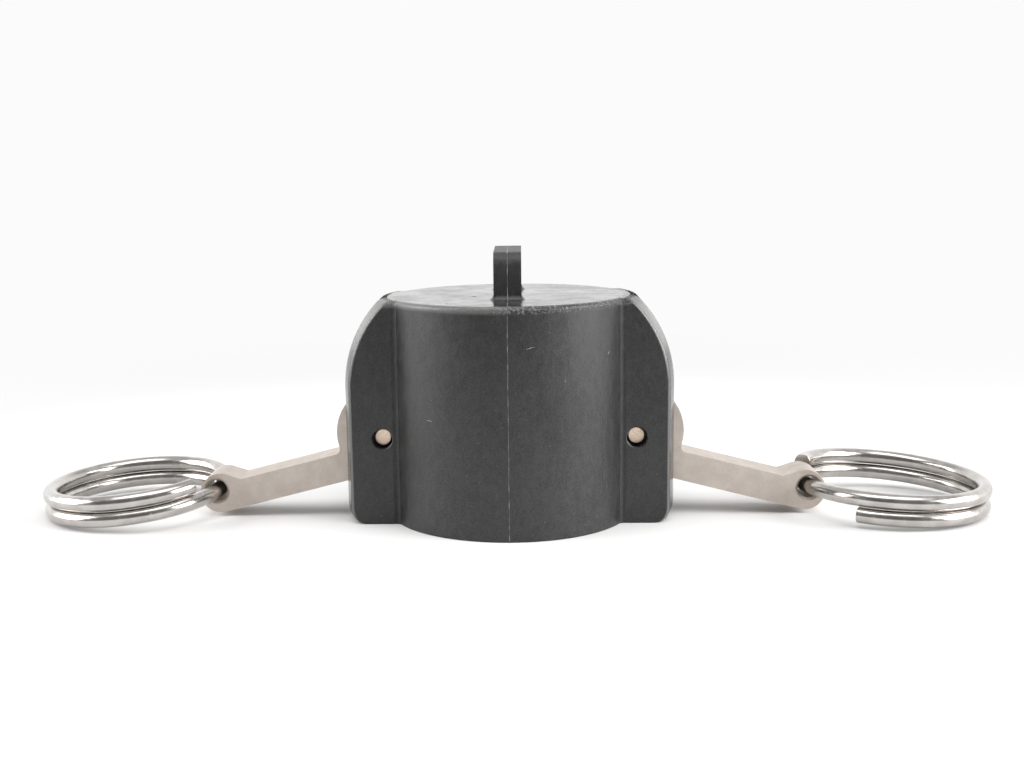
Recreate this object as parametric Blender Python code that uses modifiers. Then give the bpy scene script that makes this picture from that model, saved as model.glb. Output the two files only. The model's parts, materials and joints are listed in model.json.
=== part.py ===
"""Camlock dust cap, nominal 1 inch, with its two cam arms swung open and a split ring on each.

Metres, +Z up. The mouth of the cap rests on z = 0 and the arms open along +X and -X.
Run with: blender --background --python part.py
"""

import math

import bmesh
import bpy
from mathutils import Matrix, Vector

# The adapter that the cap closes, and the bore that goes over it
ADAPTER_RADIUS = 0.0183
BORE_CLEARANCE = 0.00035
BORE_LEAD_IN = 0.0010

# Moulded body
WALL = 0.00535
BODY_HEIGHT = 0.0440
TOP_THICKNESS = 0.0054
TOP_EDGE_RADIUS = 0.0009

# Gasket, held in a groove under the top that is wider than the bore by the grip
GASKET_GRIP = 0.00115
GASKET_WIDTH = 0.0063
GASKET_THICKNESS = 0.00635
GASKET_EDGE = 0.0004
GASKET_CLEARANCE = 0.0003

# Ears: each is a pair of walls with the arm's slot between them
EAR_HALF_WIDTH = 0.0105
EAR_REACH = 0.0327
EAR_TOP_STEP = 0.0014
EAR_STRAIGHT_HEIGHT = 0.0265
EAR_FOOT_WIDTH = 0.0022
EAR_FOOT_HEIGHT = 0.0031
EAR_EDGE_RADIUS = 0.0008
EAR_ROOT_FILLET = 0.0010

# Cam arms, drawn along +X from the pin axis with +Z as the side that turns to the bore
ARM_WIDTH = 0.0080
ARM_SIDE_CLEARANCE = 0.0003
ARM_EDGE_RADIUS = 0.00035
HANDLE_TOP = -0.0018
HANDLE_THICKNESS = 0.0057
HANDLE_FILLET = 0.0012
CAM_RADIUS = 0.00975
CAM_END_ANGLE = math.radians(50)
NOSE_REACH = 0.0088
NOSE_RADIUS = 0.0024
NOSE_START_ANGLE = math.radians(80)
NOSE_END_ANGLE = math.radians(165)
RELIEF_RADIUS = 0.0060
RELIEF_START_ANGLE = math.radians(140)
RELIEF_END_ANGLE = math.radians(223)
HEEL_ANGLE = math.radians(243)
EYE_DISTANCE = 0.0357
EYE_RADIUS = 0.0040
EYE_RAMP = math.radians(32)
EYE_HOLE_RADIUS = 0.00215
EYE_HOLE_OUT = 0.0006
EYE_HOLE_UP = 0.0006
EYE_COUNTERSINK = 0.0005
EYE_FLOOR_GAP = 0.00085

# Pins and their stepped holes in the ears
PIN_RADIUS = 0.0016
PIN_OFFSET = 0.0007
PIN_HEIGHT = 0.0170
PIN_RECESS = 0.00225
PIN_CHAMFER = 0.0001
PIN_SEAT_CLEARANCE = 0.00005
PIN_RUNNING_CLEARANCE = 0.0002
PIN_STEP_RADIUS = 0.0020
PIN_PROUD = 0.0005

# Window through the wall, where the cam reaches the adapter
WINDOW_RISE = 0.0105
WINDOW_DROP = 0.0080
WINDOW_CORNER = 0.0008
SLOT_RELIEF = 0.0001

# Lug on the top, an arch with its opening along X
LUG_THICKNESS = 0.0053
LUG_HEIGHT = 0.0090
LUG_HALF_LENGTH = 0.0120
LUG_BAND = 0.0030
LUG_CORNER_RADIUS = 0.0028
LUG_INNER_RADIUS = 0.0012
LUG_EDGE_RADIUS = 0.0007
LUG_FOOT_FILLET = 0.0013
LUG_ROOT_DEPTH = 0.0014

# Split rings, right-handed coils of a little under two turns
RING_WIRE_RADIUS = 0.00155
RING_OUTER_RADIUS = 0.01915
RING_COIL_GAP = 0.0001
RING_TURN = math.radians(647)
RING_UPPER_ARC = {"left": math.radians(326.5), "right": math.radians(340.5)}

# How each ring lies in its eye: its gap to z = 0, its place along and across the arm, skew and roll
RING_REST_GAP = 0.00005
RING_SEAT = {"left": (-0.00034, 0.0), "right": (-0.0003, 0.0)}
RING_SKEW = {"left": math.radians(-5), "right": math.radians(2.5)}
RING_ROLL = {"left": math.radians(-2.7), "right": math.radians(-0.5)}
RING_STEEPEST = math.radians(30)
RING_TILT_ROUNDS = 30

# How far a cutter runs past the face that it opens, and a fillet starts inside the faces that it joins
CUT_MARGIN = 0.0020
FILLET_SINK = 0.0001

# Facets
CYLINDER_STEPS = 96
SMALL_STEPS = 24
FILLET_STEPS = 4
EAR_CURVE_STEPS = 12
BEVEL_SEGMENTS = 2
WIRE_RESOLUTION = 4
ARC_STEP = math.radians(10)
RING_STEP = math.radians(9)
BEVEL_ANGLE = math.radians(50)
SMOOTH_ANGLE = math.radians(35)
MERGE_DISTANCE = 0.00001

# Values that follow from the ones above
BORE_RADIUS = ADAPTER_RADIUS + BORE_CLEARANCE
BODY_RADIUS = BORE_RADIUS + WALL
GASKET_OUTER_RADIUS = BORE_RADIUS + GASKET_GRIP
GASKET_INNER_RADIUS = GASKET_OUTER_RADIUS - GASKET_WIDTH
GROOVE_RADIUS = GASKET_OUTER_RADIUS + GASKET_CLEARANCE
GROOVE_TOP = BODY_HEIGHT - TOP_THICKNESS
GROOVE_BOTTOM = GROOVE_TOP - GASKET_THICKNESS - 2 * GASKET_CLEARANCE
EAR_TOP_REACH = BODY_RADIUS + EAR_TOP_STEP
WINDOW_HALF_WIDTH = ARM_WIDTH / 2 + ARM_SIDE_CLEARANCE
SLOT_HALF_WIDTH = WINDOW_HALF_WIDTH + SLOT_RELIEF
PIN_AXIS_X = BODY_RADIUS + PIN_OFFSET
PIN_HALF_LENGTH = EAR_HALF_WIDTH - PIN_RECESS
HANDLE_BOTTOM = HANDLE_TOP - HANDLE_THICKNESS
EYE_DROP = HANDLE_BOTTOM + EYE_RADIUS
EYE_HEIGHT = EYE_RADIUS + EYE_FLOOR_GAP
EYE_HOLE_X = EYE_DISTANCE + EYE_HOLE_OUT
EYE_HOLE_Z = EYE_DROP + EYE_HOLE_UP
RING_RADIUS = RING_OUTER_RADIUS - RING_WIRE_RADIUS
RING_PITCH = 2 * RING_WIRE_RADIUS + RING_COIL_GAP

# The open arm comes down until its eye lies at EYE_HEIGHT
EYE_SPAN = math.hypot(EYE_DISTANCE, EYE_DROP)
ARM_REST_ANGLE = math.asin((PIN_HEIGHT - EYE_HEIGHT) / EYE_SPAN) - math.atan2(-EYE_DROP, EYE_DISTANCE)

# How far each side is turned about Z: both sides are the same pieces
SIDE_TURN = {"left": math.pi, "right": 0.0}

UPRIGHT = Matrix.Rotation(math.pi / 2, 4, "X")
FACING_X = Matrix.Rotation(math.pi / 2, 4, "Z") @ UPRIGHT


def clear_scene():
    for item in list(bpy.data.objects):
        bpy.data.objects.remove(item)


def make_collection(name):
    collection = bpy.data.collections.new(name)
    bpy.context.scene.collection.children.link(collection)
    return collection


def make_material(name, colour, roughness, metallic):
    material = bpy.data.materials.new(name)
    material.use_nodes = True
    shader = material.node_tree.nodes["Principled BSDF"]
    shader.inputs["Base Color"].default_value = (*colour, 1.0)
    shader.inputs["Roughness"].default_value = roughness
    shader.inputs["Metallic"].default_value = metallic
    material.diffuse_color = (*colour, 1.0)
    return material


def arc(centre, radius, start, end, steps=None):
    """Points on an arc from one angle to another, both ends included."""
    steps = steps or max(1, math.ceil(abs(end - start) / ARC_STEP))
    angles = [start + (end - start) * i / steps for i in range(steps + 1)]
    return [(centre[0] + radius * math.cos(a), centre[1] + radius * math.sin(a)) for a in angles]


def mesh_object(name, mesh, collection):
    item = bpy.data.objects.new(name, mesh)
    collection.objects.link(item)
    return item


def loft(name, sections, collection):
    """A closed skin over sections that have the same number of points, capped at both ends."""
    bm = bmesh.new()
    rings = [[bm.verts.new(point) for point in section] for section in sections]
    count = len(rings[0])
    for lower, upper in zip(rings, rings[1:]):
        for i in range(count):
            j = (i + 1) % count
            bm.faces.new((lower[i], lower[j], upper[j], upper[i]))
    bm.faces.new(rings[0][::-1])
    bm.faces.new(rings[-1])
    mesh = bpy.data.meshes.new(name)
    bm.to_mesh(mesh)
    bm.free()
    return mesh_object(name, mesh, collection)


def turned(name, profile, steps, collection):
    """A profile of (radius, height) points, down its outer side, turned about Z."""
    mesh = bpy.data.meshes.new(name)
    edges = [(i, i + 1) for i in range(len(profile) - 1)]
    if profile[0][0] > 0:
        edges.append((len(profile) - 1, 0))
    mesh.from_pydata([(radius, 0.0, height) for radius, height in profile], edges, [])
    item = mesh_object(name, mesh, collection)
    screw = item.modifiers.new("turn", "SCREW")
    screw.steps = steps
    screw.render_steps = steps
    screw.use_merge_vertices = True
    screw.merge_threshold = MERGE_DISTANCE
    return item


def plate(name, outline, thickness, frame, collection):
    """A flat outline given thickness on both sides, then stood up by a frame."""
    curve = bpy.data.curves.new(name, "CURVE")
    curve.dimensions = "2D"
    curve.fill_mode = "BOTH"
    curve.extrude = thickness / 2
    spline = curve.splines.new("POLY")
    spline.points.add(len(outline) - 1)
    for point, (u, v) in zip(spline.points, outline):
        point.co = (u, v, 0.0, 1.0)
    spline.use_cyclic_u = True
    drawn = mesh_object(name + "_outline", curve, collection)
    depsgraph = bpy.context.evaluated_depsgraph_get()
    mesh = bpy.data.meshes.new_from_object(drawn.evaluated_get(depsgraph))
    bpy.data.objects.remove(drawn)
    bm = bmesh.new()
    bm.from_mesh(mesh)
    bmesh.ops.remove_doubles(bm, verts=bm.verts, dist=MERGE_DISTANCE)
    bm.to_mesh(mesh)
    bm.free()
    mesh.transform(frame)
    return mesh_object(name, mesh, collection)


def box(name, size, centre, collection):
    bpy.ops.mesh.primitive_cube_add(size=1.0, location=centre)
    item = bpy.context.object
    item.name = name
    item.scale = size
    bpy.ops.object.transform_apply(location=False, rotation=False, scale=True)
    for owner in list(item.users_collection):
        owner.objects.unlink(item)
    collection.objects.link(item)
    return item


def join_or_cut(item, tool, operation):
    boolean = item.modifiers.new(tool.name, "BOOLEAN")
    boolean.operation = operation
    boolean.object = tool
    boolean.solver = "EXACT"
    tool.display_type = "WIRE"
    tool.hide_render = True


def round_edges(item, radius):
    bevel = item.modifiers.new("edges", "BEVEL")
    bevel.width = radius
    bevel.segments = BEVEL_SEGMENTS
    bevel.limit_method = "ANGLE"
    bevel.angle_limit = BEVEL_ANGLE


def finish(item, material):
    item.data.materials.clear()
    item.data.materials.append(material)
    if item.type == "MESH":
        item.data.shade_smooth()
        item.data.set_sharp_from_angle(angle=SMOOTH_ANGLE)
    return item


def ear_reach(height):
    """Radius of the ears' outer face: rounded foot, straight, then an arc in to the top."""
    if height < EAR_FOOT_HEIGHT:
        down = (EAR_FOOT_HEIGHT - height) / EAR_FOOT_HEIGHT
        return EAR_REACH - EAR_FOOT_WIDTH * (1 - math.sqrt(1 - down * down))
    if height < EAR_STRAIGHT_HEIGHT:
        return EAR_REACH
    inward = EAR_REACH - EAR_TOP_REACH
    rise = BODY_HEIGHT - EAR_STRAIGHT_HEIGHT
    radius = (inward * inward + rise * rise) / (2 * inward)
    up = height - EAR_STRAIGHT_HEIGHT
    return EAR_REACH - radius + math.sqrt(radius * radius - up * up)


def body_section(height, inset):
    """Outline of the body at one height: the round wall and, at each side, an ear with its fillets."""
    wall = BODY_RADIUS - inset
    reach = ear_reach(height) - inset
    face = EAR_HALF_WIDTH - inset
    fillet = EAR_ROOT_FILLET
    edge = EAR_EDGE_RADIUS
    root_y = -(face + fillet)
    root_x = math.sqrt((wall + fillet) ** 2 - root_y ** 2)
    edge_y = -(face - edge)
    edge_x = math.sqrt((reach - edge) ** 2 - edge_y ** 2)
    root_angle = math.atan2(root_y, root_x)
    edge_angle = math.atan2(edge_y, edge_x)
    front = arc((0, 0), wall, -math.pi / 2, root_angle, CYLINDER_STEPS // 6)
    front += arc((root_x, root_y), fillet, root_angle + math.pi, math.pi / 2, FILLET_STEPS)[1:]
    front += arc((edge_x, edge_y), edge, -math.pi / 2, edge_angle, FILLET_STEPS)
    front += arc((0, 0), reach, edge_angle, 0, FILLET_STEPS)[1:]
    right = front + [(x, -y) for x, y in reversed(front[:-1])]
    outline = right[:-1] + [(-x, -y) for x, y in right[:-1]]
    return [(x, y, height) for x, y in outline]


def body_heights():
    """Heights and insets of the body's sections, close together where the outline curves."""
    quarter = [math.pi / 2 * i / FILLET_STEPS for i in range(FILLET_STEPS + 1)]
    foot = [EAR_FOOT_HEIGHT * (1 - math.cos(angle)) for angle in quarter]
    curve_top = BODY_HEIGHT - TOP_EDGE_RADIUS
    curve_rise = curve_top - EAR_STRAIGHT_HEIGHT
    curve = [EAR_STRAIGHT_HEIGHT + curve_rise * i / EAR_CURVE_STEPS for i in range(EAR_CURVE_STEPS + 1)]
    levels = [(height, 0.0) for height in foot + curve]
    for angle in quarter[1:]:
        rise = TOP_EDGE_RADIUS * math.sin(angle)
        levels.append((curve_top + rise, TOP_EDGE_RADIUS * (1 - math.cos(angle))))
    return levels


def make_bore_cutter(cutters):
    entry = BORE_RADIUS + BORE_LEAD_IN
    below = -CUT_MARGIN
    groove = [(0, GROOVE_TOP), (GROOVE_RADIUS, GROOVE_TOP), (GROOVE_RADIUS, GROOVE_BOTTOM)]
    bore = [(BORE_RADIUS, GROOVE_BOTTOM), (BORE_RADIUS, BORE_LEAD_IN), (entry, 0), (entry, below), (0, below)]
    return turned("bore_cutter", groove + bore, CYLINDER_STEPS, cutters)


def make_slot_cutter(side, cutters):
    """The gap between a pair of ear walls, down to the round wall of the body."""
    half_angle = math.asin(SLOT_HALF_WIDTH / BODY_RADIUS)
    outside = EAR_REACH + CUT_MARGIN
    outline = arc((0, 0), BODY_RADIUS, half_angle, -half_angle)
    outline += [(outside, -SLOT_HALF_WIDTH), (outside, SLOT_HALF_WIDTH)]
    height = 2 * (BODY_HEIGHT + CUT_MARGIN)
    cutter = plate("slot_cutter_" + side, outline, height, Matrix.Identity(4), cutters)
    cutter.rotation_euler = (0, 0, SIDE_TURN[side])
    return cutter


def make_window_cutter(side, cutters):
    """The opening through the wall that the cam turns in."""
    height = WINDOW_RISE + WINDOW_DROP
    inner = BORE_RADIUS - CUT_MARGIN
    outer = PIN_AXIS_X
    centre_x = math.cos(SIDE_TURN[side]) * (inner + outer) / 2
    centre_z = PIN_HEIGHT + (WINDOW_RISE - WINDOW_DROP) / 2
    size = (outer - inner, 2 * WINDOW_HALF_WIDTH, height)
    cutter = box("window_cutter_" + side, size, (centre_x, 0, centre_z), cutters)
    round_edges(cutter, WINDOW_CORNER)
    return cutter


def make_pin_hole_cutter(side, cutters):
    """A hole through both ear walls, stepped out to a larger radius at each outer face."""
    step = PIN_HALF_LENGTH - PIN_PROUD
    outside = EAR_HALF_WIDTH + CUT_MARGIN
    hole = PIN_RADIUS + PIN_SEAT_CLEARANCE
    upper = [(0, outside), (PIN_STEP_RADIUS, outside), (PIN_STEP_RADIUS, step), (hole, step)]
    profile = upper + [(radius, -height) for radius, height in reversed(upper)]
    cutter = turned("pin_hole_cutter_" + side, profile, SMALL_STEPS, cutters)
    cutter.rotation_euler = (math.pi / 2, 0, 0)
    cutter.location = (math.cos(SIDE_TURN[side]) * PIN_AXIS_X, 0, PIN_HEIGHT)
    return cutter


def arch(half_length, top, corner, bottom):
    """Half an arch's outline and its mirror: up one leg, round the corners, down the other."""
    left = arc((-half_length + corner, top - corner), corner, math.pi, math.pi / 2)
    left = [(-half_length, bottom)] + left
    return left + [(-u, v) for u, v in reversed(left)]


def make_lug(cutters):
    """The arch on the top, sunk a little into the top so that the two join."""
    root = BODY_HEIGHT - LUG_ROOT_DEPTH
    top = BODY_HEIGHT + LUG_HEIGHT
    outer = arch(LUG_HALF_LENGTH, top, LUG_CORNER_RADIUS, root)
    inner = arch(LUG_HALF_LENGTH - LUG_BAND, top - LUG_BAND, LUG_INNER_RADIUS, root)
    lug = plate("lug", outer + inner[::-1], LUG_THICKNESS, FACING_X, cutters)
    round_edges(lug, LUG_EDGE_RADIUS)
    return lug


def rounded_rectangle(half_x, half_y, corner):
    quarter = arc((half_x - corner, half_y - corner), corner, 0, math.pi / 2)
    half = quarter + [(-x, y) for x, y in reversed(quarter)]
    return half + [(-x, -y) for x, y in half]


def make_lug_foot(end, cutters):
    """The concave fillet round one leg of the lug, as a foot that flares out to the top."""
    fillet = LUG_FOOT_FILLET
    centre_y = end * (LUG_HALF_LENGTH - LUG_BAND / 2)
    base = BODY_HEIGHT - FILLET_SINK
    levels = [(base - fillet, fillet)]
    for i in range(FILLET_STEPS + 1):
        angle = math.pi / 2 * i / (FILLET_STEPS + 1)
        levels.append((base + fillet * (1 - math.cos(angle)), fillet * (1 - math.sin(angle))))
    levels.append((base + fillet, -FILLET_SINK))
    sections = []
    for height, flare in levels:
        outline = rounded_rectangle(LUG_THICKNESS / 2 + flare, LUG_BAND / 2 + flare, LUG_EDGE_RADIUS + flare)
        sections.append([(x, centre_y + y, height) for x, y in outline])
    return loft("lug_foot_front" if end < 0 else "lug_foot_back", sections, cutters)


def make_cap_body(parts, cutters):
    sections = [body_section(height, inset) for height, inset in body_heights()]
    body = loft("cap_body", sections, parts)
    join_or_cut(body, make_lug(cutters), "UNION")
    for end in (-1, 1):
        join_or_cut(body, make_lug_foot(end, cutters), "UNION")
    join_or_cut(body, make_bore_cutter(cutters), "DIFFERENCE")
    for side in SIDE_TURN:
        join_or_cut(body, make_slot_cutter(side, cutters), "DIFFERENCE")
        join_or_cut(body, make_window_cutter(side, cutters), "DIFFERENCE")
        join_or_cut(body, make_pin_hole_cutter(side, cutters), "DIFFERENCE")
    return body


def make_gasket(parts):
    top = GROOVE_TOP - GASKET_CLEARANCE
    bottom = top - GASKET_THICKNESS
    inner = GASKET_INNER_RADIUS
    outer = GASKET_OUTER_RADIUS
    edge = GASKET_EDGE
    profile = [(inner + edge, top), (outer - edge, top), (outer, top - edge), (outer, bottom + edge),
               (outer - edge, bottom), (inner + edge, bottom), (inner, bottom + edge), (inner, top - edge)]
    return turned("gasket", profile, CYLINDER_STEPS // 2, parts)


def make_pin(side, parts):
    upper = [(0, PIN_HALF_LENGTH), (PIN_RADIUS - PIN_CHAMFER, PIN_HALF_LENGTH),
             (PIN_RADIUS, PIN_HALF_LENGTH - PIN_CHAMFER)]
    profile = upper + [(radius, -height) for radius, height in reversed(upper)]
    pin = turned("pin_" + side, profile, SMALL_STEPS, parts)
    pin.rotation_euler = (math.pi / 2, 0, 0)
    pin.location = (math.cos(SIDE_TURN[side]) * PIN_AXIS_X, 0, PIN_HEIGHT)
    return pin


def arm_outline():
    """Side view of an arm: eye, ramp, handle, cam, relief towards the bore, heel."""
    eye = (EYE_DISTANCE, EYE_DROP)
    ramp_angle = math.pi / 2 + EYE_RAMP
    ramp_top = (eye[0] + EYE_RADIUS * math.cos(ramp_angle), eye[1] + EYE_RADIUS * math.sin(ramp_angle))
    notch_x = ramp_top[0] - (ramp_top[1] - HANDLE_TOP) / math.tan(EYE_RAMP)
    fillet_z = HANDLE_TOP + HANDLE_FILLET
    fillet_x = math.sqrt((CAM_RADIUS + HANDLE_FILLET) ** 2 - fillet_z ** 2)
    fillet_angle = math.atan2(fillet_z, fillet_x)
    outline = arc(eye, EYE_RADIUS, -math.pi / 2, ramp_angle)
    outline.append((notch_x, HANDLE_TOP))
    outline += arc((fillet_x, fillet_z), HANDLE_FILLET, -math.pi / 2, fillet_angle - math.pi)
    outline += arc((0, 0), CAM_RADIUS, fillet_angle, CAM_END_ANGLE)[1:]
    outline += arc((0, NOSE_REACH - NOSE_RADIUS), NOSE_RADIUS, NOSE_START_ANGLE, NOSE_END_ANGLE)
    outline += arc((0, 0), RELIEF_RADIUS, RELIEF_START_ANGLE, RELIEF_END_ANGLE)
    outline += arc((0, 0), -HANDLE_BOTTOM, HEEL_ANGLE, 1.5 * math.pi)
    return outline


def make_arm(side, parts, cutters):
    arm = plate("arm_" + side, arm_outline(), ARM_WIDTH, UPRIGHT, parts)
    arm.location = (math.cos(SIDE_TURN[side]) * PIN_AXIS_X, 0, PIN_HEIGHT)
    arm.rotation_euler = (0, ARM_REST_ANGLE, SIDE_TURN[side])
    outside = ARM_WIDTH / 2 + CUT_MARGIN
    hole = PIN_RADIUS + PIN_RUNNING_CLEARANCE
    pivot = turned("pivot_cutter_" + side, [(0, outside), (hole, outside), (hole, -outside), (0, -outside)],
                   SMALL_STEPS, cutters)
    depth = ARM_WIDTH / 2 - EYE_COUNTERSINK
    flare = EYE_HOLE_RADIUS + outside - depth
    upper = [(0, outside), (flare, outside), (EYE_HOLE_RADIUS, depth)]
    profile = upper + [(radius, -height) for radius, height in reversed(upper)]
    eye = turned("eye_cutter_" + side, profile, SMALL_STEPS, cutters)
    eye.location = (EYE_HOLE_X, 0, EYE_HOLE_Z)
    for cutter in (pivot, eye):
        cutter.parent = arm
        cutter.rotation_euler = (math.pi / 2, 0, 0)
        join_or_cut(arm, cutter, "DIFFERENCE")
    round_edges(arm, ARM_EDGE_RADIUS)
    return arm


def ring_points(side):
    """The coil's centre line: the eye is at the origin and the ring lies out along +X."""
    steps = math.ceil(RING_TURN / RING_STEP)
    points = []
    for i in range(steps + 1):
        turn = RING_TURN * i / steps - RING_UPPER_ARC[side]
        height = -RING_PITCH * turn / math.tau
        points.append(Vector((RING_RADIUS * (1 - math.cos(turn)), RING_RADIUS * math.sin(turn), height)))
    return points


def ring_matrix(side, tilt):
    """How a ring is turned in the arm's frame when its far side is tilted down."""
    turn = Matrix.Rotation(-ARM_REST_ANGLE, 4, "Y") @ Matrix.Rotation(RING_SKEW[side], 4, "Z")
    return turn @ Matrix.Rotation(tilt, 4, "Y") @ Matrix.Rotation(RING_ROLL[side], 4, "X")


def ring_rest_matrix(side):
    """The turn at which the coil's lowest point comes down to RING_REST_GAP above z = 0."""
    upright = Matrix.Rotation(ARM_REST_ANGLE, 4, "Y")
    along, across = RING_SEAT[side]
    seat = Matrix.Translation((EYE_HOLE_X + along, 0, EYE_HOLE_Z + across))
    low, high = 0.0, RING_STEEPEST
    for _ in range(RING_TILT_ROUNDS):
        tilt = (low + high) / 2
        placed = upright @ seat @ ring_matrix(side, tilt)
        lowest = PIN_HEIGHT + min((placed @ point).z for point in ring_points(side)) - RING_WIRE_RADIUS
        low, high = (tilt, high) if lowest > RING_REST_GAP else (low, tilt)
    return seat @ ring_matrix(side, low)


def make_ring(side, arm, parts):
    curve = bpy.data.curves.new("ring_" + side, "CURVE")
    curve.dimensions = "3D"
    curve.bevel_depth = RING_WIRE_RADIUS
    curve.bevel_resolution = WIRE_RESOLUTION
    curve.use_fill_caps = True
    points = ring_points(side)
    spline = curve.splines.new("POLY")
    spline.points.add(len(points) - 1)
    for point, place in zip(spline.points, points):
        point.co = (*place, 1.0)
    ring = mesh_object("ring_" + side, curve, parts)
    ring.parent = arm
    rest = ring_rest_matrix(side)
    ring.location = rest.translation
    ring.rotation_euler = rest.to_euler()
    return ring


def main():
    clear_scene()
    parts = make_collection("camlock_dust_cap")
    cutters = make_collection("cutters")
    plastic = make_material("filled_polypropylene", (0.055, 0.060, 0.060), 0.55, 0.0)
    rubber = make_material("gasket_rubber", (0.018, 0.018, 0.018), 0.70, 0.0)
    casting = make_material("cast_stainless", (0.48, 0.43, 0.37), 0.50, 1.0)
    bright = make_material("polished_stainless", (0.62, 0.58, 0.54), 0.14, 1.0)
    pin_steel = make_material("pin_steel", (0.60, 0.53, 0.44), 0.40, 1.0)

    finish(make_cap_body(parts, cutters), plastic)
    finish(make_gasket(parts), rubber)
    for side in SIDE_TURN:
        finish(make_pin(side, parts), pin_steel)
        arm = finish(make_arm(side, parts, cutters), casting)
        finish(make_ring(side, arm, parts), bright)


main()
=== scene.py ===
"""Looks of the camlock dust cap: finishes, mould seam, fine rings, studio and camera.

Metres, +Z up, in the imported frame. The mouth stands on z = 0 and the camera looks along +Y.
"""

import json
import math

import bmesh
import bpy
from mathutils import Matrix, Vector, noise


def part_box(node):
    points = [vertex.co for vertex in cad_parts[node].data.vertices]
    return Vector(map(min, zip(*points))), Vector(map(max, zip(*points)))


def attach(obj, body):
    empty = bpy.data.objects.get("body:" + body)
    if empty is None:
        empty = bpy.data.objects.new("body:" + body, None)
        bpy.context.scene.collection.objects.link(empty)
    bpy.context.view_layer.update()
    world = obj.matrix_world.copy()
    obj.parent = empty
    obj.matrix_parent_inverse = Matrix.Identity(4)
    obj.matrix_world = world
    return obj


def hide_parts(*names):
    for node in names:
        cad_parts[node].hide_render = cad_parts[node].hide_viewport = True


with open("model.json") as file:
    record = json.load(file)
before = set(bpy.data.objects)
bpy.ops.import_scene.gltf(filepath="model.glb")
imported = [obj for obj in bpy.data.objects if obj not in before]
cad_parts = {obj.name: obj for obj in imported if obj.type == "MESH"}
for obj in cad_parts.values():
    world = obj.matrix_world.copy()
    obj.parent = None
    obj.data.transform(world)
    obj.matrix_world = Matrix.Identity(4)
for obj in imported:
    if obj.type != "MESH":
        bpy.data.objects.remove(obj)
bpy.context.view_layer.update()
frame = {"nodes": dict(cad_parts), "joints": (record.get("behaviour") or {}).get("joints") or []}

JOINTS = {joint["name"]: joint for joint in frame["joints"]}
SIDES = ("left", "right")
SIDE_TURN = {"left": math.pi, "right": 0.0}
MM = 0.001

# Camera, fitted to the photograph, whose centre lies to one side of the lens axis
IMAGE_WIDTH = 1024
SENSOR_WIDTH = 36.0
FOCAL_PIXELS = 1332
CAMERA_PLACE = (2.62 * MM, -263.4 * MM, 69.76 * MM)
CAMERA_PITCH = math.radians(9.42)
CAMERA_YAW = math.radians(2.47)
CAMERA_ROLL = math.radians(-0.93)
CAMERA_SHIFT_PIXELS = 46.5
CAMERA_CLIP_START = 0.01

# Studio: a white sweep under and behind the part, a dim room in front and three soft boxes
WHITE = 0.965
WHITE_COLOUR = (1.0, 1.0, 1.0, 1.0)
FLOOR_HALF_WIDTH = 3.0
FLOOR_GAP = 0.02 * MM
FLOOR_FADE = (0.13, 0.30)
# The floor's colour is paler near the part than further out: a painted pool of light round the part
FLOOR_PAINTED_LIGHT_REACH = (0.05, 0.20)
FLOOR_PAINTED_LIGHT_COLOURS = ((0.73, 0.728, 0.725), (0.54, 0.54, 0.54))
FLOOR_FRONT = (-0.45, -0.25)
FLOOR_FRONT_SHADE = 0.25
FLOOR_ROUGHNESS = 0.9
FLOOR_SPECULAR = 0.1
BLACK = (0.0, 0.0, 0.0)
ROOM_DIM = 0.22
ROOM_CEILING = 0.80
CEILING_EDGE = (0.60, 0.90)
ROOM_WALL = 1.3
WALL_TURN = (-0.15, 0.25)
WALL_TOP = (0.55, 0.85)
SOFT_BOXES = {
    "left": {"place": (-0.85, -0.05, 0.35), "size": (0.70, 0.60), "power": 8.8},
    "right": {"place": (0.85, -0.23, 0.35), "size": (0.70, 0.60), "power": 13.8},
    "overhead": {"place": (0.0, -0.25, 0.95), "size": (0.90, 0.50), "power": 4.0},
}

# Body
BODY_RADIUS = 24.0 * MM
BODY_HEIGHT = 44.0 * MM
TOP_EDGE_RADIUS = 0.9 * MM
LUG_HALF_LENGTH = 12.0 * MM
LUG_CORNER_RADIUS = 2.8 * MM
LUG_FOOT_FILLET = 1.3 * MM
LUG_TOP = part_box("cap_body")[1].z

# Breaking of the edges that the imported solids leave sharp
BODY_EDGE = 0.12 * MM
PIN_EDGE = 0.08 * MM
WIRE_END_EDGE = 0.10 * MM
BEVEL_SEGMENTS = 2
MERGE_DISTANCE = 0.002 * MM
FLAT_ANGLE = math.radians(0.3)
BEVEL_ANGLE = math.radians(60)
SMOOTH_ANGLE = math.radians(35)

# Mould seam, a raised line round the middle of the body and the lug
SEAM_START = 0.3 * MM
SEAM_RADIUS = 0.075 * MM
SEAM_PROUD = 0.035 * MM
SEAM_STEP = 0.6 * MM
SEAM_RESOLUTION = 2
SEAM_WANDER = 0.05 * MM
SEAM_WANDER_RATE = 0.35
SEAM_SWELL = 0.55
SEAM_SWELL_RATE = 0.8
SEAM_SWELL_SEED = 7.0
TOP_EDGE_STEPS = 6
LUG_FOOT_STEPS = 5
LUG_CORNER_STEPS = 16
NIB_Y = -9.6 * MM
NIB_REACH = 0.7 * MM
NIB_GROWTH = 2.6

# Split rings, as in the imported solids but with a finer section
WIRE_RADIUS = 1.55 * MM
RING_RADIUS = 17.6 * MM
RING_PITCH = 3.2 * MM
RING_TURN = math.radians(647)
RING_UPPER_ARC = {"left": math.radians(326.5), "right": math.radians(340.5)}
RING_SEAT = {"left": (-0.33 * MM, 0.083 * MM), "right": (-0.291 * MM, 0.074 * MM)}
RING_SKEW = {"left": math.radians(-5), "right": math.radians(2.5)}
RING_ROLL = {"left": math.radians(-2.7), "right": math.radians(-0.5)}
RING_STEEPEST = math.radians(30)
RING_TILT_ROUNDS = 30
RING_STEP = math.radians(3)
WIRE_RESOLUTION = 8

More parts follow.
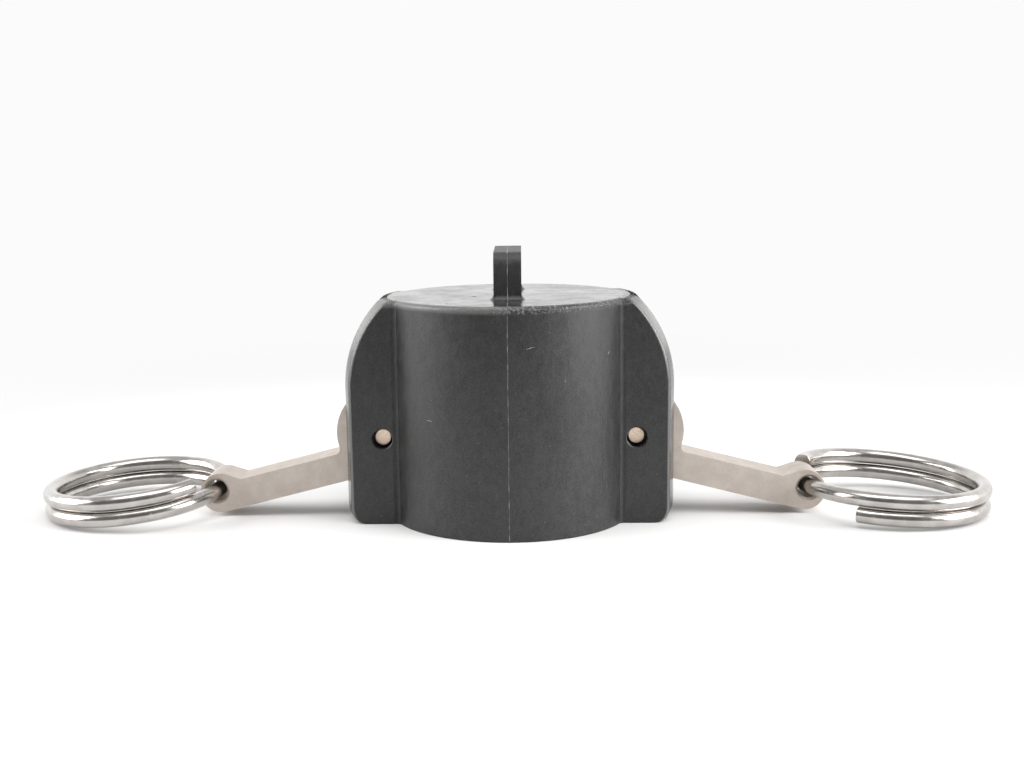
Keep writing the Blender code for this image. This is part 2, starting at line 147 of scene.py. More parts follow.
# Scratches on the front of the body: angle from the middle, height, length and tilt
SCRATCHES = (
    (10.0, 36.4 * MM, 1.7 * MM, 12.0),
    (52.0, 34.2 * MM, 0.9 * MM, 55.0),
    (-38.0, 22.2 * MM, 1.3 * MM, -8.0),
    (26.0, 30.0 * MM, 0.5 * MM, 80.0),
)
SCRATCH_RADIUS = 0.055 * MM
SCRATCH_RESOLUTION = 1
SCRATCH_STEPS = 8
SCRATCH_BEND = 0.12
SCRATCH_BEND_SEED = 3.1
SCRATCH_BEND_RATE = 0.5

# Dark specks on the top: x, y and radius
TOP_SPECKS = ((-6.6 * MM, -4.0 * MM, 0.55 * MM), (-11.3 * MM, -17.0 * MM, 0.35 * MM))
SPECK_CORE = 0.6

# Where the finishes of the plastic begin and end: heights, distances from the axis and one x
RIM_HEIGHTS = (42.3 * MM, 43.3 * MM)
RIM_RADII = (22.6 * MM, 23.3 * MM)
NICKED_X = (-4.0 * MM, 3.0 * MM)
EAR_RADII = (24.6 * MM, 25.2 * MM)
ROOT_INNER_RADII = (24.02 * MM, 24.10 * MM)
ROOT_OUTER_RADII = (24.8 * MM, 25.2 * MM)
TOP_LOWER_HEIGHTS = (43.90 * MM, 43.99 * MM)
TOP_UPPER_HEIGHTS = (44.02 * MM, 44.2 * MM)
LUG_HEIGHTS = (44.3 * MM, 44.8 * MM)

# How squarely an ear's surface faces away from the axis, at its rounded edge and its back
EDGE_FACING = (0.40, 0.60)
EDGE_FACING_END = (0.93, 0.98)
BACK_FACING = (0.70, 0.90)

# Noise: size, detail, roughness and distortion
PLASTIC_GRAIN = (0.24 * MM, 3.0, 0.65)
PLASTIC_FLOW = (1.3 * MM, 4.0, 0.6, 0.8)
PLASTIC_BROAD = (9.0 * MM, 2.0)
FLOW_STRETCH = (1.0, 1.0, 0.5)
RIM_PATCH = (0.45 * MM, 5.0, 0.75)
TOP_SCUFF = (7.0 * MM, 8.0, 0.72, 0.15)
FLASH_DETAIL = 3.0
CASTING_GRAIN = (0.22 * MM, 4.0, 0.65)
CASTING_BROAD = (3.0 * MM, 3.0, 0.6)
WIRE_SMUDGE = (3.5 * MM, 5.0, 0.65)
WIRE_FINE = (0.5 * MM, 3.0, 0.6)
PIN_GRAIN = (0.4 * MM, 4.0, 0.7)
RUBBER_BLOOM = (2.5 * MM, 5.0, 0.65)
RUBBER_GRAIN = (0.25 * MM, 3.0)

# Plastic: the share of each noise in its tone, its colours, and how far each layer covers
FLOW_SHARE = 0.25
GRAIN_SHARE = 0.6
BROAD_SHARE = 0.15
PLASTIC_TONE = (0.38, 0.62)
PLASTIC_COLOURS = ((0.009, 0.0095, 0.0095), (0.031, 0.0315, 0.031))
FLECK_SPACING = 1.1 * MM
FLECK_SIZES = (0.75, 1.0, 0.0, 0.14)
FLECK_COVER = 0.25
FLECK_COLOUR = (0.16, 0.16, 0.155)
# The top edge's paler colour is partly wear and partly a painted highlight on its rounded edge
RIM_RUBBED = (0.2, 0.8, 0.3, 0.6)
RIM_NICKED = (0.46, 0.66)
RIM_COVER = 0.75
RIM_WEAR_AND_HIGHLIGHT_COLOUR = (0.30, 0.298, 0.29)
# Painted sheen: a paler grey on the ears' rounded edges
EAR_EDGE_SHEEN_COLOUR = (0.11, 0.11, 0.107)
SCUFF_SPREAD = (0.36, 0.70)
SCUFF_COVER = 0.45
SCUFF_COLOUR = (0.080, 0.076, 0.072)
SPECK_COLOUR = (0.008, 0.008, 0.008)

# Plastic: roughness, as a number or as a noise range and the roughness range that it gives
BODY_ROUGHNESS = (0.3, 0.7, 0.31, 0.39)
TOP_ROUGHNESS = (0.35, 0.65, 0.14, 0.26)
EAR_BACK_ROUGHNESS = 0.18
ROOT_ROUGHNESS = 0.70
LUG_ROUGHNESS = 0.52
SPECK_ROUGHNESS = 0.95

# Plastic: relief as depth, with strength where it isn't full, and its share left on the top
CORNER_ROUNDING = 0.15 * MM
CORNER_SAMPLES = 4
TOP_RELIEF_SHARE = 0.08
FLOW_RELIEF = 0.05 * MM
FLOW_RELIEF_STRENGTH = 0.6
GRAIN_RELIEF = 0.030 * MM
RIM_RELIEF = 0.08 * MM
SPECK_DEPTH = 0.3 * MM

# Flash: patch size, dark and light tone
SEAM_FLASH = (1.6 * MM, 0.055, 0.19)
TORN_FLASH = (0.3 * MM, 0.20, 0.45)
FLASH_SPREAD = (0.42, 0.68)
FLASH_ROUGHNESS = 0.5

# Castings
CASTING_GRAIN_SHARE = 0.6
CASTING_BROAD_SHARE = 0.4
CASTING_TONE = (0.36, 0.64)
CASTING_COLOURS = ((0.49, 0.435, 0.39), (0.61, 0.55, 0.50))
PIT_SPACING = 2.4 * MM
PIT_SIZES = (0.62, 1.0, 0.0, 0.10)
PIT_SMALLEST = 0.01
PIT_EDGE = (-0.02, 0.03, 1.0, 0.0)
PIT_COVER = 0.75
PIT_COLOUR = (0.16, 0.13, 0.11)
PIT_DEPTH = 0.10 * MM
CASTING_ROUGHNESS = (0.3, 0.7, 0.46, 0.60)
CASTING_RELIEF = 0.035 * MM
CASTING_RELIEF_STRENGTH = 0.9

# Wire
WIRE_TONE = (0.35, 0.65)
WIRE_COLOURS = ((0.44, 0.415, 0.395), (0.54, 0.515, 0.49))
WIRE_ROUGHNESS = (0.35, 0.70, 0.17, 0.24)
WIRE_FINE_ROUGHNESS = (0.55, 0.75, 0.0, 0.06)
WIRE_RELIEF = 0.04 * MM
WIRE_RELIEF_STRENGTH = 0.2

# Pins
PIN_TONE = (0.35, 0.65)
PIN_COLOURS = ((0.88, 0.70, 0.56), (1.0, 0.84, 0.69))
CRACK_SPACING = 1.2 * MM
CRACK_WIDTH = 0.05
CRACK_COVER = 0.35
CRACK_COLOUR = (0.42, 0.31, 0.23)
PIN_ROUGHNESS = (0.3, 0.7, 0.40, 0.55)
PIN_RELIEF = 0.05 * MM
PIN_RELIEF_STRENGTH = 0.8

# Rubber
RUBBER_TONE = (0.4, 0.7)
RUBBER_COLOURS = ((0.012, 0.012, 0.012), (0.028, 0.027, 0.026))
RUBBER_ROUGHNESS = (0.3, 0.7, 0.60, 0.78)
RUBBER_RELIEF = 0.02 * MM
RUBBER_RELIEF_STRENGTH = 0.6


def link(item):
    bpy.context.scene.collection.objects.link(item)
    return item


# Node helpers


def add(tree, kind, inputs=None, **settings):
    """A shader node with its settings, and its inputs given as values or as other nodes' outputs."""
    node = tree.nodes.new("ShaderNode" + kind)
    for name, value in settings.items():
        setattr(node, name, value)
    for key, value in (inputs or {}).items():
        if isinstance(value, bpy.types.NodeSocket):
            tree.links.new(value, node.inputs[key])
        else:
            node.inputs[key].default_value = value
    return node


def new_material(name, metallic=0.0):
    material = bpy.data.materials.new(name)
    material.use_nodes = True
    shader = material.node_tree.nodes["Principled BSDF"]
    shader.inputs["Metallic"].default_value = metallic
    return material, material.node_tree, shader


def place(tree):
    return add(tree, "TexCoord").outputs["Object"]


def cloud(tree, where, size, detail=2.0, roughness=0.5, distortion=0.0):
    """Noise whose features measure about size."""
    settings = {"Vector": where, "Scale": 1 / size, "Detail": detail}
    settings |= {"Roughness": roughness, "Distortion": distortion}
    return add(tree, "TexNoise", settings).outputs["Fac"]


def cells(tree, where, spacing, **settings):
    """A scatter of cells about a spacing apart."""
    return add(tree, "TexVoronoi", {"Vector": where, "Scale": 1 / spacing}, **settings).outputs


def cell_chance(tree, scatter, channel):
    """A random number from 0 to 1 for each cell, from one channel of its colour."""
    return add(tree, "SeparateColor", {"Color": scatter["Color"]}).outputs[channel]


def spread(tree, value, low, high, to_low=0.0, to_high=1.0):
    """Value carried from one range to another, held at the ends."""
    inputs = {"Value": value, "From Min": low, "From Max": high, "To Min": to_low, "To Max": to_high}
    return add(tree, "MapRange", inputs, interpolation_type="SMOOTHSTEP").outputs["Result"]


def fading(tree, value, low, high):
    """1 up to the low end of a range, 0 from its high end on."""
    return spread(tree, value, low, high, 1.0, 0.0)


def maths(tree, operation, first, second):
    return add(tree, "Math", {0: first, 1: second}, operation=operation).outputs[0]


def product(tree, first, second):
    return maths(tree, "MULTIPLY", first, second)


def total(tree, first, second):
    return maths(tree, "ADD", first, second)


def blend_colours(tree, amount, first, second):
    node = add(tree, "Mix", {"Factor": amount}, data_type="RGBA")
    for socket, value in ((node.inputs[6], first), (node.inputs[7], second)):
        if isinstance(value, bpy.types.NodeSocket):
            tree.links.new(value, socket)
        else:
            socket.default_value = (*value, 1.0)
    return node.outputs[2]


def blend_values(tree, amount, first, second):
    return add(tree, "Mix", {"Factor": amount, 2: first, 3: second}, data_type="FLOAT").outputs[0]


def bumped(tree, height, distance, before=None, strength=1.0):
    inputs = {"Height": height, "Distance": distance, "Strength": strength}
    if before:
        inputs["Normal"] = before
    return add(tree, "Bump", inputs).outputs["Normal"]


def feed(tree, shader, **sockets):
    for name, value in sockets.items():
        tree.links.new(value, shader.inputs[name.replace("_", " ")])


# Plastic


def plastic_fields(tree):
    """What the layers of the plastic share: place, distance from the axis, facing and noise."""
    where = place(tree)
    axes = add(tree, "SeparateXYZ", {"Vector": where}).outputs
    flat = add(tree, "CombineXYZ", {"X": axes["X"], "Y": axes["Y"]}).outputs["Vector"]
    radius = add(tree, "VectorMath", {0: flat}, operation="LENGTH").outputs["Value"]
    normal = add(tree, "TexCoord").outputs["Normal"]
    facing = add(tree, "VectorMath", {0: normal, 1: flat}, operation="DOT_PRODUCT").outputs["Value"]
    streaks = add(tree, "Mapping", {"Vector": where, "Scale": FLOW_STRETCH}).outputs["Vector"]
    return {
        "where": where,
        "x": axes["X"],
        "height": axes["Z"],
        "radius": radius,
        "outward": maths(tree, "DIVIDE", facing, radius),
        "grain": cloud(tree, where, *PLASTIC_GRAIN),
        "flow": cloud(tree, streaks, *PLASTIC_FLOW),
        "broad": cloud(tree, streaks, *PLASTIC_BROAD),
        "scuff": cloud(tree, where, *TOP_SCUFF),
    }


def worn_rim_and_highlight(tree, fields):
    """The rubbed edge of the top, smooth on one half and nicked on the other, painted paler partly for wear
    and partly as a painted highlight on its rounded edge.
    """
    rim = product(tree, spread(tree, fields["height"], *RIM_HEIGHTS),
                  spread(tree, fields["radius"], *RIM_RADII))
    patch = cloud(tree, fields["where"], *RIM_PATCH)
    nicked = spread(tree, fields["x"], *NICKED_X)
    wear_and_highlight = blend_values(tree, nicked, spread(tree, patch, *RIM_RUBBED), spread(tree, patch, *RIM_NICKED))
    return product(tree, rim, wear_and_highlight)


def speck_mask(tree, where, speck):
    """1 inside a spot on the top, 0 outside."""
    x, y, radius = speck
    offset = add(tree, "VectorMath", {0: where, 1: (x, y, BODY_HEIGHT)}, operation="DISTANCE")
    return fading(tree, offset.outputs["Value"], SPECK_CORE * radius, radius)


def all_specks(tree, where):
    specks = speck_mask(tree, where, TOP_SPECKS[0])
    for speck in TOP_SPECKS[1:]:
        specks = maths(tree, "MAXIMUM", specks, speck_mask(tree, where, speck))
    return specks


def plastic_masks(tree, fields):
    """Where each finish of the plastic, and each painted sheen or highlight, lies, from 0 to 1."""
    ear = spread(tree, fields["radius"], *EAR_RADII)
    edge = product(tree, spread(tree, fields["outward"], *EDGE_FACING),
                   fading(tree, fields["outward"], *EDGE_FACING_END))
    return {
        "rim": worn_rim_and_highlight(tree, fields),
        "painted_ear_sheen": product(tree, ear, edge),
        "ear_back": product(tree, ear, spread(tree, fields["outward"], *BACK_FACING)),
        "root": product(tree, spread(tree, fields["radius"], *ROOT_INNER_RADII),
                        fading(tree, fields["radius"], *ROOT_OUTER_RADII)),
        "top": product(tree, spread(tree, fields["height"], *TOP_LOWER_HEIGHTS),
                       fading(tree, fields["height"], *TOP_UPPER_HEIGHTS)),
        "lug": spread(tree, fields["height"], *LUG_HEIGHTS),
        "specks": all_specks(tree, fields["where"]),
    }


def plastic_colour(tree, fields, masks):
    """Mottled grey with pale flecks, and paler where it is scuffed, on the top edge (wear and a painted
    highlight) and on the ears' rounded edges (a painted sheen).
    """
    tone = total(tree, product(tree, fields["flow"], FLOW_SHARE), product(tree, fields["grain"], GRAIN_SHARE))
    tone = total(tree, tone, product(tree, fields["broad"], BROAD_SHARE))
    colour = blend_colours(tree, spread(tree, tone, *PLASTIC_TONE), *PLASTIC_COLOURS)
    scatter = cells(tree, fields["where"], FLECK_SPACING)
    fleck_size = spread(tree, cell_chance(tree, scatter, 0), *FLECK_SIZES)
    fleck = maths(tree, "LESS_THAN", scatter["Distance"], fleck_size)
    colour = blend_colours(tree, product(tree, fleck, FLECK_COVER), colour, FLECK_COLOUR)
    # Top edge painted paler: partly wear, partly a painted highlight
    colour = blend_colours(tree, product(tree, masks["rim"], RIM_COVER), colour, RIM_WEAR_AND_HIGHLIGHT_COLOUR)
    # The ears' rounded edges are painted paler: a painted sheen
    colour = blend_colours(tree, masks["painted_ear_sheen"], colour, EAR_EDGE_SHEEN_COLOUR)
    scuffed = product(tree, masks["top"], spread(tree, fields["scuff"], *SCUFF_SPREAD))
    colour = blend_colours(tree, product(tree, scuffed, SCUFF_COVER), colour, SCUFF_COLOUR)
    return blend_colours(tree, masks["specks"], colour, SPECK_COLOUR)


def plastic_roughness(tree, fields, masks):
    rough = spread(tree, fields["flow"], *BODY_ROUGHNESS)
    rough = blend_values(tree, masks["top"], rough, spread(tree, fields["scuff"], *TOP_ROUGHNESS))
    rough = blend_values(tree, masks["ear_back"], rough, EAR_BACK_ROUGHNESS)
    rough = blend_values(tree, masks["root"], rough, ROOT_ROUGHNESS)
    rough = blend_values(tree, masks["lug"], rough, LUG_ROUGHNESS)
    return blend_values(tree, masks["specks"], rough, SPECK_ROUGHNESS)


def plastic_relief(tree, fields, masks):
    """Softened corners and fine relief, which is almost flat on the top."""
    share = spread(tree, masks["top"], 0.0, 1.0, 1.0, TOP_RELIEF_SHARE)
    normal = add(tree, "Bevel", {"Radius": CORNER_ROUNDING}, samples=CORNER_SAMPLES).outputs["Normal"]
    flow = product(tree, fields["flow"], share)
    normal = bumped(tree, flow, FLOW_RELIEF, normal, FLOW_RELIEF_STRENGTH)
    normal = bumped(tree, product(tree, fields["grain"], share), GRAIN_RELIEF, normal)
    normal = bumped(tree, masks["rim"], RIM_RELIEF, normal)
    return bumped(tree, product(tree, masks["specks"], -1.0), SPECK_DEPTH, normal)


def plastic_material():
    """Dark grey filled plastic: flow streaks, fibre flecks, a worn top edge with a painted highlight, a
    painted sheen on the ears' rounded edges and a scuffed top.
    """
    material, tree, shader = new_material("moulded_plastic")
    fields = plastic_fields(tree)
    masks = plastic_masks(tree, fields)
    colour = plastic_colour(tree, fields, masks)
    rough = plastic_roughness(tree, fields, masks)
    normal = plastic_relief(tree, fields, masks)
    feed(tree, shader, Base_Color=colour, Roughness=rough, Normal=normal)
    return material


# Other materials


def flash_material(name, size, low, high):
    """The same plastic where it is thin or torn, so lighter, in patches of about a size."""
    material, tree, shader = new_material(name)
    patch = cloud(tree, place(tree), size, FLASH_DETAIL)
    colour = blend_colours(tree, spread(tree, patch, *FLASH_SPREAD), (low, low, low), (high, high, high))
    shader.inputs["Roughness"].default_value = FLASH_ROUGHNESS
    feed(tree, shader, Base_Color=colour)
    return material


def casting_pits(tree, where):
    """1 inside the small dark pits of a casting, 0 outside."""
    scatter = cells(tree, where, PIT_SPACING)
    size = spread(tree, cell_chance(tree, scatter, 1), *PIT_SIZES)
    pit = spread(tree, maths(tree, "SUBTRACT", scatter["Distance"], size), *PIT_EDGE)
    return product(tree, pit, maths(tree, "GREATER_THAN", size, PIT_SMALLEST))


def casting_material():
    """Blasted investment casting: even matt grain, faint clouds and a few dark pits."""
    material, tree, shader = new_material("blasted_stainless", 1.0)
    where = place(tree)
    grain = cloud(tree, where, *CASTING_GRAIN)
    broad = cloud(tree, where, *CASTING_BROAD)
    tone = total(tree, product(tree, grain, CASTING_GRAIN_SHARE), product(tree, broad, CASTING_BROAD_SHARE))
    colour = blend_colours(tree, spread(tree, tone, *CASTING_TONE), *CASTING_COLOURS)
    pit = casting_pits(tree, where)
    colour = blend_colours(tree, product(tree, pit, PIT_COVER), colour, PIT_COLOUR)
    rough = spread(tree, grain, *CASTING_ROUGHNESS)
    normal = bumped(tree, grain, CASTING_RELIEF, None, CASTING_RELIEF_STRENGTH)
    normal = bumped(tree, product(tree, pit, -1.0), PIT_DEPTH, normal)
    feed(tree, shader, Base_Color=colour, Roughness=rough, Normal=normal)
    return material


def wire_material():
    """Bright drawn wire with faint handling marks."""
    material, tree, shader = new_material("bright_wire", 1.0)
    where = place(tree)
    smudge = cloud(tree, where, *WIRE_SMUDGE)
    fine = cloud(tree, where, *WIRE_FINE)
    colour = blend_colours(tree, spread(tree, smudge, *WIRE_TONE), *WIRE_COLOURS)
    rough = total(tree, spread(tree, smudge, *WIRE_ROUGHNESS), spread(tree, fine, *WIRE_FINE_ROUGHNESS))
    normal = bumped(tree, smudge, WIRE_RELIEF, None, WIRE_RELIEF_STRENGTH)
    feed(tree, shader, Base_Color=colour, Roughness=rough, Normal=normal)
    return material


def pin_material():
    """Sheared pin stock: warm satin ends with faint fracture lines."""
    material, tree, shader = new_material("pin_stock", 1.0)
    where = place(tree)
    grain = cloud(tree, where, *PIN_GRAIN)
    lines = cells(tree, where, CRACK_SPACING, feature="DISTANCE_TO_EDGE")
    crack = fading(tree, lines["Distance"], 0.0, CRACK_WIDTH)
    colour = blend_colours(tree, spread(tree, grain, *PIN_TONE), *PIN_COLOURS)
    colour = blend_colours(tree, product(tree, crack, CRACK_COVER), colour, CRACK_COLOUR)
    rough = spread(tree, grain, *PIN_ROUGHNESS)
    normal = bumped(tree, grain, PIN_RELIEF, None, PIN_RELIEF_STRENGTH)
    feed(tree, shader, Base_Color=colour, Roughness=rough, Normal=normal)
    return material


def rubber_material():
    """Black moulded rubber with a bloom of dust."""
    material, tree, shader = new_material("nitrile_rubber")
    where = place(tree)
    bloom = cloud(tree, where, *RUBBER_BLOOM)
    grain = cloud(tree, where, *RUBBER_GRAIN)
    colour = blend_colours(tree, spread(tree, bloom, *RUBBER_TONE), *RUBBER_COLOURS)
    rough = spread(tree, bloom, *RUBBER_ROUGHNESS)
    normal = bumped(tree, grain, RUBBER_RELIEF, None, RUBBER_RELIEF_STRENGTH)
    feed(tree, shader, Base_Color=colour, Roughness=rough, Normal=normal)
    return material


# Pieces


def fit_out(piece, body, nodes, material):
    """Gives a piece its finish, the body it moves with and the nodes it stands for."""
    piece.data.materials.clear()
    piece.data.materials.append(material)
    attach(piece, body)
    if nodes:
        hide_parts(*nodes)
    return piece


def break_edges(piece, name, width):
    """A small bevel on the sharp edges of a piece."""
    bevel = piece.modifiers.new(name, "BEVEL")
    bevel.width = width
    bevel.segments = BEVEL_SEGMENTS
    bevel.limit_method = "ANGLE"
    bevel.angle_limit = BEVEL_ANGLE
    return bevel


def refined(name, node, edge):
    """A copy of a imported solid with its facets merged, its sharp edges broken and its shading smooth."""
    mesh = frame["nodes"][node].data.copy()
    mesh.attributes.remove(mesh.attributes["custom_normal"])
    bm = bmesh.new()
    bm.from_mesh(mesh)
    bmesh.ops.remove_doubles(bm, verts=bm.verts, dist=MERGE_DISTANCE)
    bmesh.ops.dissolve_limit(bm, angle_limit=FLAT_ANGLE, verts=bm.verts, edges=bm.edges)
    bm.to_mesh(mesh)
    bm.free()
    mesh.shade_smooth()
    mesh.set_sharp_from_angle(angle=SMOOTH_ANGLE)
    piece = link(bpy.data.objects.new(name, mesh))
    if edge:
        break_edges(piece, "edges", edge).use_clamp_overlap = False
    weighted = piece.modifiers.new("normals", "WEIGHTED_NORMAL")
    weighted.keep_sharp = True
    return piece


def wire_curve(name, points, radius, resolution, widths=None):
    """A round wire through points, with a width factor at each if given."""
    curve = bpy.data.curves.new(name, "CURVE")
    curve.dimensions = "3D"
    curve.bevel_depth = radius
    curve.bevel_resolution = resolution
    curve.use_fill_caps = True
    spline = curve.splines.new("POLY")
    spline.points.add(len(points) - 1)
    for i, (point, place_at) in enumerate(zip(spline.points, points)):
        point.co = (*place_at, 1.0)
        point.radius = widths[i] if widths else 1.0
    return link(bpy.data.objects.new(name, curve))


def as_mesh(item):
    """A curve object made a mesh object of the same name, with its caps welded."""
    depsgraph = bpy.context.evaluated_depsgraph_get()
    mesh = bpy.data.meshes.new_from_object(item.evaluated_get(depsgraph))
    name = item.name
    bpy.data.objects.remove(item)
    bm = bmesh.new()
    bm.from_mesh(mesh)
    bmesh.ops.remove_doubles(bm, verts=bm.verts, dist=MERGE_DISTANCE)
    bm.to_mesh(mesh)
    bm.free()
    mesh.shade_smooth()
    mesh.set_sharp_from_angle(angle=SMOOTH_ANGLE)
    return link(bpy.data.objects.new(name, mesh))


def ring_points(side):
    """The coil's centre line: the eye is at the origin and the ring lies out along +X."""
    steps = math.ceil(RING_TURN / RING_STEP)
    points = []
    for i in range(steps + 1):
        turn = RING_TURN * i / steps - RING_UPPER_ARC[side]
        height = -RING_PITCH * turn / math.tau
        points.append(Vector((RING_RADIUS * (1 - math.cos(turn)), RING_RADIUS * math.sin(turn), height)))
    return points


def ring_matrix(side, tilt):
    """Where a ring lies when its far side is tilted down."""
    out, up = RING_SEAT[side]
    turn = Matrix.Rotation(SIDE_TURN[side], 4, "Z")
    eye = Matrix.Translation(JOINTS[side + "_ring_swing"]["pos_m"]) @ turn @ Matrix.Translation((out, 0, up))
    lay = Matrix.Rotation(RING_SKEW[side], 4, "Z") @ Matrix.Rotation(tilt, 4, "Y")
    return eye @ lay @ Matrix.Rotation(RING_ROLL[side], 4, "X")


def ring_rest_matrix(side, points):
    """The place at which the coil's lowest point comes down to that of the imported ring."""
    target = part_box("ring_" + side)[0].z + WIRE_RADIUS
    low, high = 0.0, RING_STEEPEST
    for _ in range(RING_TILT_ROUNDS):
        tilt = (low + high) / 2
        placed = ring_matrix(side, tilt)
        low, high = (tilt, high) if min((placed @ point).z for point in points) > target else (low, tilt)
    return ring_matrix(side, low)


def split_ring(side, material):
    """A coil of a little under two turns that hangs in the eye of its arm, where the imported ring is."""
    points = ring_points(side)
    rest = ring_rest_matrix(side, points)
    placed = [rest @ point for point in points]
    ring = as_mesh(wire_curve("split_ring_" + side, placed, WIRE_RADIUS, WIRE_RESOLUTION))
    break_edges(ring, "cut_ends", WIRE_END_EDGE)
    return fit_out(ring, side + "_ring", ["ring_" + side], material)


def arc(centre, radius, start, end, steps):
    """Points (y, z) on an arc, angles in degrees."""
    angles = [math.radians(start + (end - start) * i / steps) for i in range(steps + 1)]
    return [(centre[0] + radius * math.cos(a), centre[1] + radius * math.sin(a)) for a in angles]


def seam_outline():
    """The front half of the seam's path as (y, z), from the mouth to the middle of the lug."""
    edge = TOP_EDGE_RADIUS
    foot = LUG_FOOT_FILLET
    corner = LUG_CORNER_RADIUS
    path = [(-BODY_RADIUS, SEAM_START)]
    path += arc((-BODY_RADIUS + edge, BODY_HEIGHT - edge), edge, 180, 90, TOP_EDGE_STEPS)
    path += arc((-LUG_HALF_LENGTH - foot, BODY_HEIGHT + foot), foot, -90, 0, LUG_FOOT_STEPS)
    path += arc((-LUG_HALF_LENGTH + corner, LUG_TOP - corner), corner, 180, 90, LUG_CORNER_STEPS)
    path.append((0.0, LUG_TOP))
    return path


def evenly(path, step):
    """Points along a path at even steps."""
    found = [Vector(path[0])]
    spare = 0.0
    for start, end in zip(path, path[1:]):
        start, end = Vector(start), Vector(end)
        length = (end - start).length
        along = step - spare
        while along < length:
            found.append(start.lerp(end, along / length))
            along += step
        spare = length - (along - step)
    return found


def seam_noise(seed, point, rate):
    return noise.noise(Vector((seed, point.x / MM, point.y / MM)) * rate)


def mould_seam(material):
    """The parting line, a thin uneven ridge, with a nib of flash on the lug."""
    front = seam_outline()
    path = evenly(front + [(-y, z) for y, z in reversed(front[:-1])], SEAM_STEP)
    points = []
    widths = []
    for i, point in enumerate(path):
        ahead = path[min(i + 1, len(path) - 1)] - path[max(i - 1, 0)]
        outward = Vector((-ahead.y, ahead.x)).normalized()
        place_at = point - outward * (SEAM_RADIUS - SEAM_PROUD)
        wander = seam_noise(0.0, point, SEAM_WANDER_RATE)
        swell = seam_noise(SEAM_SWELL_SEED, point, SEAM_SWELL_RATE)
        nib = max(0.0, 1.0 - abs(point.x - NIB_Y) / NIB_REACH) if point.y > LUG_TOP - MM else 0.0
        points.append((SEAM_WANDER * wander, place_at.x, place_at.y))
        widths.append(1.0 + SEAM_SWELL * swell + NIB_GROWTH * nib)
    seam = as_mesh(wire_curve("mould_seam", points, SEAM_RADIUS, SEAM_RESOLUTION, widths))
    return fit_out(seam, "cap", [], material)


def scratch(number, angle, height, length, tilt, material):
    """A short pale scratch whose torn edge stands just proud of the round wall."""
    points = []
    for i in range(SCRATCH_STEPS + 1):
        along = length * (i / SCRATCH_STEPS - 0.5)
        seed = Vector((number * SCRATCH_BEND_SEED, i * SCRATCH_BEND_RATE, 0.0))
        bend = SCRATCH_BEND * length * noise.noise(seed)
        across = along * math.cos(math.radians(tilt)) / BODY_RADIUS
        turn = math.radians(angle) + across
        z = height + along * math.sin(math.radians(tilt)) + bend
        points.append((BODY_RADIUS * math.sin(turn), -BODY_RADIUS * math.cos(turn), z))
    count = SCRATCH_STEPS + 1
    widths = [math.sin(math.pi * (i + 0.5) / count) for i in range(count)]
    wire = wire_curve("scratch_%d" % number, points, SCRATCH_RADIUS, SCRATCH_RESOLUTION, widths)
    return fit_out(as_mesh(wire), "cap", [], material)


def dress():
    """Every piece of the part, each with its finish."""
    seam_flash = flash_material("seam_flash", *SEAM_FLASH)
    torn_flash = flash_material("torn_flash", *TORN_FLASH)
    casting = casting_material()
    wire = wire_material()
    pin_stock = pin_material()
    body = refined("moulded_cap", "cap_body", BODY_EDGE)
    fit_out(body, "cap", ["cap_body"], plastic_material())
    face_gasket = refined("face_gasket", "gasket", 0.0)
    fit_out(face_gasket, "cap", ["gasket"], rubber_material())
    mould_seam(seam_flash)
    for number, values in enumerate(SCRATCHES, 1):
        scratch(number, *values, torn_flash)
    for side in SIDES:
        pin = refined("pivot_pin_" + side, "pin_" + side, PIN_EDGE)
        fit_out(pin, "cap", ["pin_" + side], pin_stock)
        arm = refined("cam_arm_" + side, "arm_" + side, 0.0)
        fit_out(arm, side + "_arm", ["arm_" + side], casting)
        split_ring(side, wire)


# Studio


def make_camera():
    data = bpy.data.cameras.new("camera")
    data.sensor_width = SENSOR_WIDTH
    data.sensor_fit = "HORIZONTAL"
    data.lens = FOCAL_PIXELS * SENSOR_WIDTH / IMAGE_WIDTH
    data.shift_x = CAMERA_SHIFT_PIXELS / IMAGE_WIDTH
    data.clip_start = CAMERA_CLIP_START
    camera = link(bpy.data.objects.new("camera", data))
    turn = Matrix.Rotation(CAMERA_YAW, 4, "Z") @ Matrix.Rotation(math.pi / 2 - CAMERA_PITCH, 4, "X")
    camera.matrix_world = Matrix.Translation(CAMERA_PLACE) @ turn @ Matrix.Rotation(CAMERA_ROLL, 4, "Z")
    bpy.context.scene.camera = camera


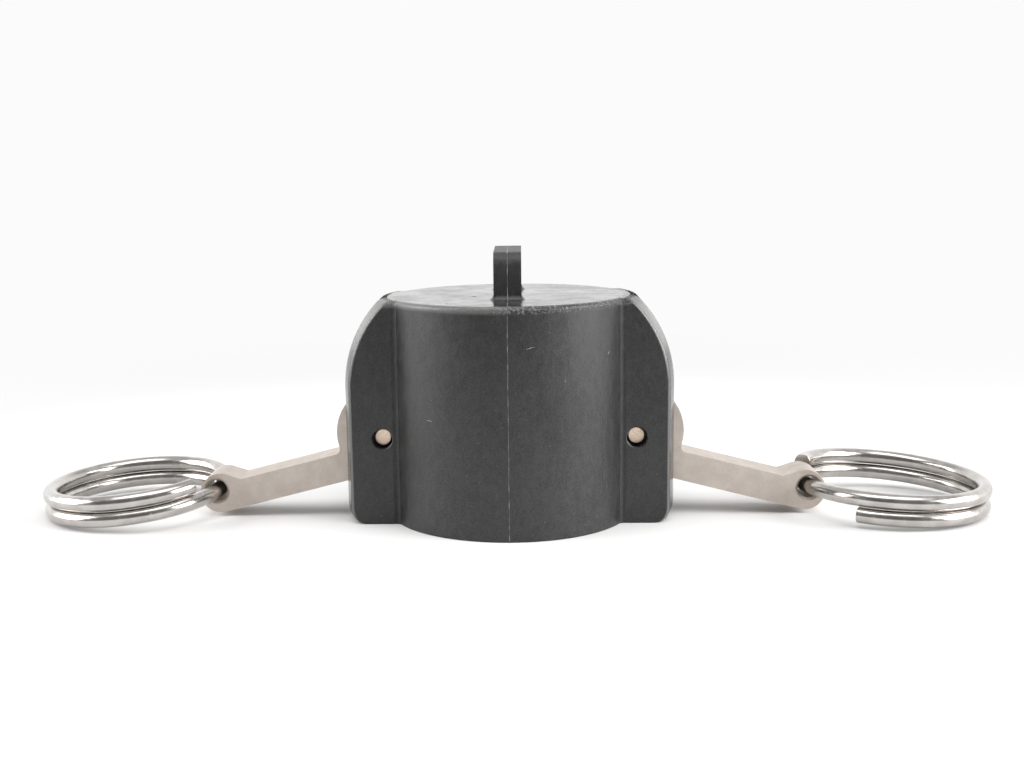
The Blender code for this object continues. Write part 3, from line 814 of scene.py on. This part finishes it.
def make_world():
    """White to the camera; to the part a white wall behind it and a dim room elsewhere."""
    world = bpy.data.worlds.new("room")
    bpy.context.scene.world = world
    world.use_nodes = True
    tree = world.node_tree
    direction = add(tree, "TexCoord").outputs["Generated"]
    axes = add(tree, "SeparateXYZ", {"Vector": direction}).outputs
    wall = product(tree, spread(tree, axes["Y"], *WALL_TURN), fading(tree, axes["Z"], *WALL_TOP))
    dim = spread(tree, axes["Z"], *CEILING_EDGE, ROOM_DIM, ROOM_CEILING)
    level = blend_values(tree, wall, dim, ROOM_WALL)
    seen = add(tree, "LightPath").outputs["Is Camera Ray"]
    strength = blend_values(tree, seen, level, WHITE)
    tree.links.new(strength, tree.nodes["Background"].inputs["Strength"])
    tree.nodes["Background"].inputs["Color"].default_value = WHITE_COLOUR


def floor_material():
    """Paler near the part, a painted pool of light that still keeps the lamps' shadows, plain white to the
    camera further out, dark far in front.
    """
    material, tree, shader = new_material("floor_with_painted_light")
    where = place(tree)
    axes = add(tree, "SeparateXYZ", {"Vector": where}).outputs
    away = add(tree, "VectorMath", {0: where}, operation="LENGTH").outputs["Value"]
    # Painted pool of light: the floor is paler near the part
    pale = blend_colours(tree, spread(tree, away, *FLOOR_PAINTED_LIGHT_REACH), *FLOOR_PAINTED_LIGHT_COLOURS)
    shade = spread(tree, axes["Y"], *FLOOR_FRONT, FLOOR_FRONT_SHADE, 1.0)
    shader.inputs["Roughness"].default_value = FLOOR_ROUGHNESS
    shader.inputs["Specular IOR Level"].default_value = FLOOR_SPECULAR
    feed(tree, shader, Base_Color=blend_colours(tree, shade, BLACK, pale))
    seen = add(tree, "LightPath").outputs["Is Camera Ray"]
    glow = add(tree, "Emission", {"Color": WHITE_COLOUR, "Strength": WHITE}).outputs[0]
    amount = product(tree, spread(tree, away, *FLOOR_FADE), seen)
    mixed = add(tree, "MixShader", {0: amount, 1: shader.outputs[0], 2: glow})
    tree.links.new(mixed.outputs[0], tree.nodes["Material Output"].inputs["Surface"])
    return material


def make_floor():
    bpy.ops.mesh.primitive_plane_add(size=2 * FLOOR_HALF_WIDTH, location=(0, 0, -FLOOR_GAP))
    floor = bpy.context.object
    floor.name = "floor"
    floor.data.materials.append(floor_material())


def soft_box(name, values):
    light = bpy.data.lights.new(name, "AREA")
    light.shape = "RECTANGLE"
    light.size, light.size_y = values["size"]
    light.energy = values["power"]
    lamp = link(bpy.data.objects.new(name, light))
    lamp.location = values["place"]
    lamp.rotation_euler = (-Vector(values["place"])).to_track_quat("-Z", "Y").to_euler()


def make_studio():
    make_camera()
    make_world()
    make_floor()
    for name, values in SOFT_BOXES.items():
        soft_box(name, values)
    bpy.context.scene.view_settings.view_transform = "Standard"


dress()
make_studio()
